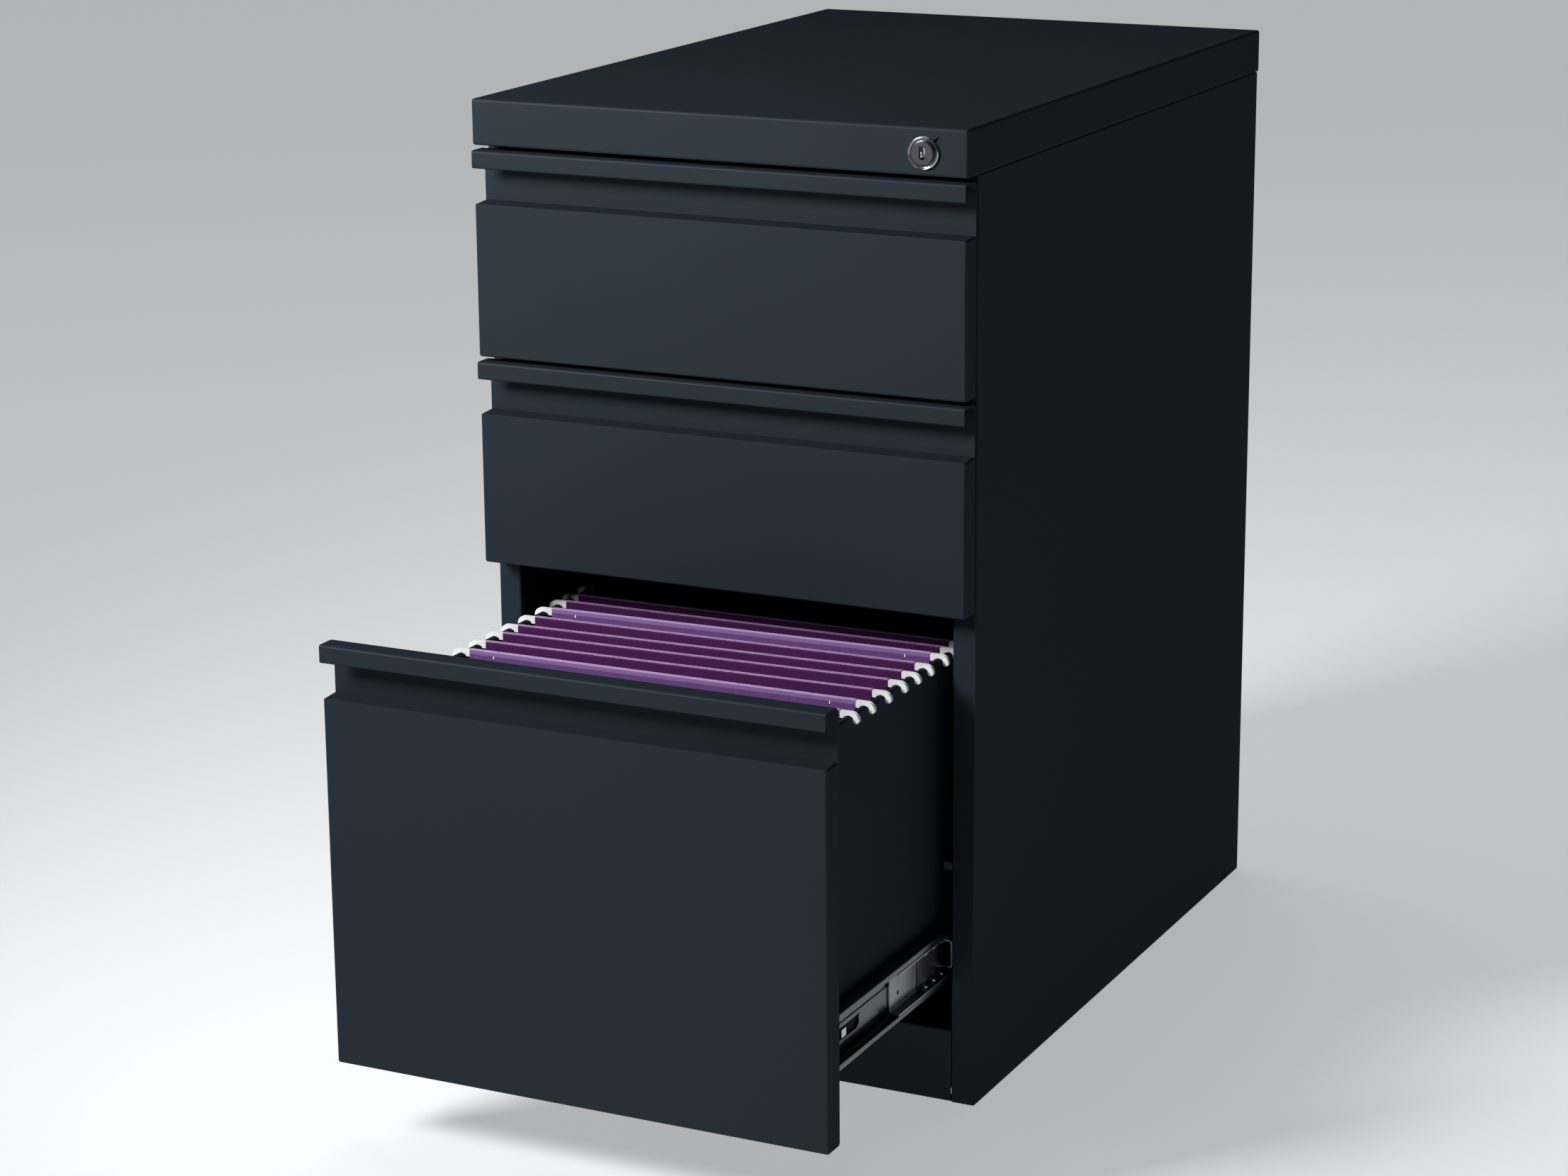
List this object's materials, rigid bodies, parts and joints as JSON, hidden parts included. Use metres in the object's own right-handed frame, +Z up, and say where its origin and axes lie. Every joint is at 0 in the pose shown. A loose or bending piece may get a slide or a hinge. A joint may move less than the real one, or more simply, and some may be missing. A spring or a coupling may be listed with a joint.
{
  "type": "filing cabinet",
  "caption": "Steel pedestal cabinet with box drawers above a file drawer, on telescopic ball slides, with full-width pulls and a lock that holds the drawers shut.",
  "frame": {"origin": "on the floor, under the middle of the box around the part with the file drawer 220 mm open, which is 180.8 mm behind the plane of the closed drawer fronts", "axes": "+Z up, +X to the right of someone facing the drawers, and -Y is the way the drawers open"},
  "size_m": [0.381, 0.8064, 0.705],
  "materials": {
    "charcoal_powder_coat": "fine satin powder coat",
    "zinc_steel": "bright zinc plate",
    "lock_chrome": "polished",
    "ballast_iron": "rough cast",
    "glide_nylon": "moulded",
    "plum_folder": "heavy coloured card stock",
    "lavender_folder": "heavy coloured card stock"
  },
  "bodies": {
    "cabinet": {"side_panel_left": "charcoal_powder_coat", "side_panel_right": "charcoal_powder_coat", "back_panel": "charcoal_powder_coat", "top_cap": "charcoal_powder_coat", "top_front_rail": "charcoal_powder_coat", "toe_rail": "charcoal_powder_coat", "base_pan": "charcoal_powder_coat", "counterweight": "ballast_iron", "slide_upright_front_left": "charcoal_powder_coat", "slide_upright_front_right": "charcoal_powder_coat", "slide_upright_rear_left": "charcoal_powder_coat", "slide_upright_rear_right": "charcoal_powder_coat", "lock_barrel": "lock_chrome", "levelling_glide_front_left": "glide_nylon", "levelling_glide_front_right": "glide_nylon", "levelling_glide_rear_left": "glide_nylon", "levelling_glide_rear_right": "glide_nylon", "upper_slide_cabinet_left": "zinc_steel", "upper_slide_cabinet_right": "zinc_steel", "middle_slide_cabinet_left": "zinc_steel", "middle_slide_cabinet_right": "zinc_steel", "file_slide_cabinet_left": "zinc_steel", "file_slide_cabinet_right": "zinc_steel"},
    "lock_cylinder": {"lock_plug": "lock_chrome", "lock_cam": "zinc_steel"},
    "lock_bar_slider": {"lock_bar": "zinc_steel"},
    "upper_drawer": {"upper_drawer_front": "charcoal_powder_coat", "upper_drawer_liner": "charcoal_powder_coat", "upper_drawer_box": "charcoal_powder_coat", "upper_lock_catch": "zinc_steel", "upper_slide_drawer_left": "zinc_steel", "upper_slide_drawer_right": "zinc_steel"},
    "upper_slides": {"upper_slide_middle_left": "zinc_steel", "upper_slide_middle_right": "zinc_steel"},
    "middle_drawer": {"middle_drawer_front": "charcoal_powder_coat", "middle_drawer_liner": "charcoal_powder_coat", "middle_drawer_box": "charcoal_powder_coat", "middle_lock_catch": "zinc_steel", "middle_slide_drawer_left": "zinc_steel", "middle_slide_drawer_right": "zinc_steel"},
    "middle_slides": {"middle_slide_middle_left": "zinc_steel", "middle_slide_middle_right": "zinc_steel"},
    "file_drawer": {"file_drawer_front": "charcoal_powder_coat", "file_drawer_liner": "charcoal_powder_coat", "file_drawer_box": "charcoal_powder_coat", "file_lock_catch": "zinc_steel", "file_slide_drawer_left": "zinc_steel", "file_slide_drawer_right": "zinc_steel", "hanging_folder_1": "plum_folder", "hanging_folder_2": "lavender_folder", "hanging_folder_3": "plum_folder", "hanging_folder_4": "plum_folder", "hanging_folder_5": "plum_folder", "hanging_folder_6": "plum_folder", "hanging_folder_7": "lavender_folder", "hanging_folder_8": "plum_folder", "hanging_folder_9": "plum_folder", "hanging_folder_10": "plum_folder"},
    "file_slides": {"file_slide_middle_left": "zinc_steel", "file_slide_middle_right": "zinc_steel"}
  },
  "joints": [
    {"name": "upper_drawer_slide", "type": "slide", "parent": "cabinet", "child": "upper_drawer", "axis": [0, -1, 0], "range_m": [0, 0.4]},
    {"name": "upper_slides_slide", "type": "slide", "parent": "cabinet", "child": "upper_slides", "axis": [0, -1, 0], "range_m": [0, 0.2]},
    {"name": "middle_drawer_slide", "type": "slide", "parent": "cabinet", "child": "middle_drawer", "axis": [0, -1, 0], "range_m": [0, 0.4]},
    {"name": "middle_slides_slide", "type": "slide", "parent": "cabinet", "child": "middle_slides", "axis": [0, -1, 0], "range_m": [0, 0.2]},
    {"name": "file_drawer_slide", "type": "slide", "parent": "cabinet", "child": "file_drawer", "axis": [0, -1, 0], "range_m": [-0.22, 0.26]},
    {"name": "file_slides_slide", "type": "slide", "parent": "cabinet", "child": "file_slides", "axis": [0, -1, 0], "range_m": [-0.11, 0.13]},
    {"name": "lock_bar_drop", "type": "slide", "parent": "cabinet", "child": "lock_bar_slider", "axis": [0, 0, -1], "range_m": [0, 0.008]},
    {"name": "lock_turn", "type": "hinge", "parent": "cabinet", "child": "lock_cylinder", "pos_m": [0.1585, -0.1708, 0.6878], "axis": [0, 1, 0], "range_deg": [0, 90]}
  ],
  "couplings": [
    {"joint": "upper_slides_slide", "follows": "upper_drawer_slide", "ratio": 0.5},
    {"joint": "middle_slides_slide", "follows": "middle_drawer_slide", "ratio": 0.5},
    {"joint": "file_slides_slide", "follows": "file_drawer_slide", "ratio": 0.5},
    {"joint": "lock_turn", "follows": "lock_bar_drop", "rad_per_m": 196.34}
  ]
}
